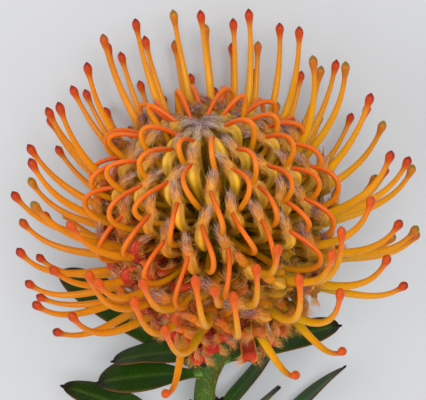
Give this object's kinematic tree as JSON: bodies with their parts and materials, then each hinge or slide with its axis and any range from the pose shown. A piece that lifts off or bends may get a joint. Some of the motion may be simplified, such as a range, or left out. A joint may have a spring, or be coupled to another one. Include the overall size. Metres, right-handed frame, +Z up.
{
  "type": "pincushion protea flower",
  "caption": "Cut pincushion protea flower lying on its back, with an orange head of curved styles, a short green stem and dark green leaves.",
  "frame": {"origin": "middle of the bottom of the flower's box, on the surface it lies on", "axes": "+Y along the surface from the stem's cut end towards the tip of the head, +Z up, +X across the head"},
  "size_m": [0.1116, 0.1698, 0.098],
  "materials": {
    "unopened_florets": "hairy, satin",
    "opening_florets": "waxy, satin",
    "open_florets": "waxy, satin",
    "receptacle": "woolly",
    "bracts": "woolly",
    "stem": "downy",
    "leaf": "satin"
  },
  "bodies": {
    "root": {"receptacle": "receptacle", "involucral_bracts": "bracts", "stem": "stem", "tip_floret_1": "unopened_florets", "tip_floret_2": "unopened_florets", "tip_floret_3": "unopened_florets", "tip_floret_4": "unopened_florets", "tip_floret_5": "unopened_florets", "tip_floret_6": "unopened_florets", "tip_floret_7": "unopened_florets", "tip_floret_8": "unopened_florets", "row_01_inner_florets": "unopened_florets", "row_01_middle_florets": "opening_florets", "row_01_outer_florets": "open_florets", "row_02_inner_florets": "unopened_florets", "row_02_middle_florets": "opening_florets", "row_02_outer_florets": "open_florets", "row_03_inner_florets": "unopened_florets", "row_03_middle_florets": "opening_florets", "row_03_outer_florets": "open_florets", "row_04_inner_florets": "unopened_florets", "row_04_middle_florets": "opening_florets", "row_04_outer_florets": "open_florets", "row_05_inner_florets": "unopened_florets", "row_05_middle_florets": "opening_florets", "row_05_outer_florets": "open_florets", "row_06_inner_florets": "unopened_florets", "row_06_middle_florets": "opening_florets", "row_06_outer_florets": "open_florets", "row_07_inner_florets": "unopened_florets", "row_07_middle_florets": "opening_florets", "row_07_outer_florets": "open_florets", "row_08_inner_florets": "unopened_florets", "row_08_middle_florets": "opening_florets", "row_08_outer_florets": "open_florets", "row_09_inner_florets": "unopened_florets", "row_09_middle_florets": "opening_florets", "row_09_outer_florets": "open_florets", "row_10_inner_florets": "unopened_florets", "row_10_middle_florets": "opening_florets", "row_10_outer_florets": "open_florets", "row_11_inner_florets": "unopened_florets", "row_11_middle_florets": "opening_florets", "row_11_outer_florets": "open_florets", "row_12_inner_florets": "unopened_florets", "row_12_middle_florets": "opening_florets", "row_12_outer_florets": "open_florets", "row_13_inner_florets": "unopened_florets", "row_13_middle_florets": "opening_florets", "row_13_outer_florets": "open_florets", "leaf_right_upper": "leaf", "leaf_left_edge": "leaf", "leaf_back_left": "leaf", "leaf_left_broad": "leaf", "leaf_back_right": "leaf", "leaf_left_under": "leaf", "leaf_front": "leaf", "leaf_left_low": "leaf", "leaf_right_low": "leaf", "leaf_right_small": "leaf"}
  },
  "joints": []
}
